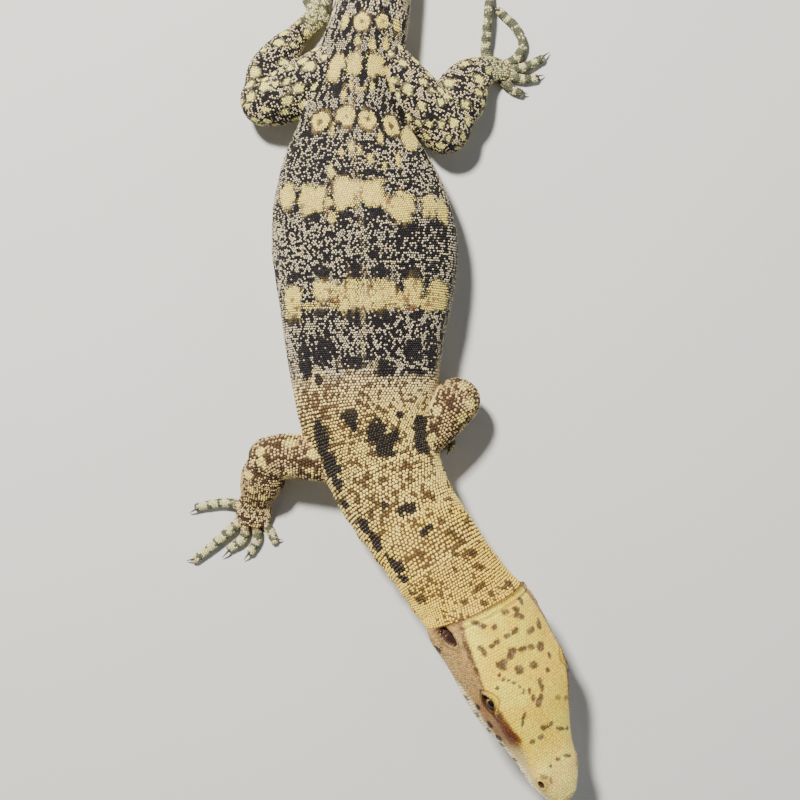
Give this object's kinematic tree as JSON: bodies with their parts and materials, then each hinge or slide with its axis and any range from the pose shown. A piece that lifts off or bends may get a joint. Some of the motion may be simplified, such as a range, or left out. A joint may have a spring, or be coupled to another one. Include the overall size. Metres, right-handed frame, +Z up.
{
  "type": "water monitor lizard",
  "caption": "Young water monitor lizard at life size, lying still on its belly with its head raised and turned a little, tail laid out behind.",
  "frame": {"origin": "on the floor, on the flat of the belly, under the middle of the torso", "axes": "+Z up, +Y towards the tail, +X to the animal's left, head towards -Y"},
  "size_m": [0.0868, 0.4284, 0.0294],
  "materials": {
    "skin": "beaded scales, satin",
    "eye": "wet gloss",
    "claw": "horn"
  },
  "bodies": {
    "root": {"head": "skin", "lower_jaw": "skin", "neck": "skin", "torso": "skin", "tail_base": "skin", "tail_front": "skin", "tail_middle": "skin", "tail_tip": "skin", "upper_arm_left": "skin", "forearm_left": "skin", "hand_left": "skin", "thigh_left": "skin", "shank_left": "skin", "foot_left": "skin", "upper_arm_right": "skin", "forearm_right": "skin", "hand_right": "skin", "thigh_right": "skin", "shank_right": "skin", "foot_right": "skin", "eye_left": "eye", "eye_right": "eye"}
  },
  "joints": []
}
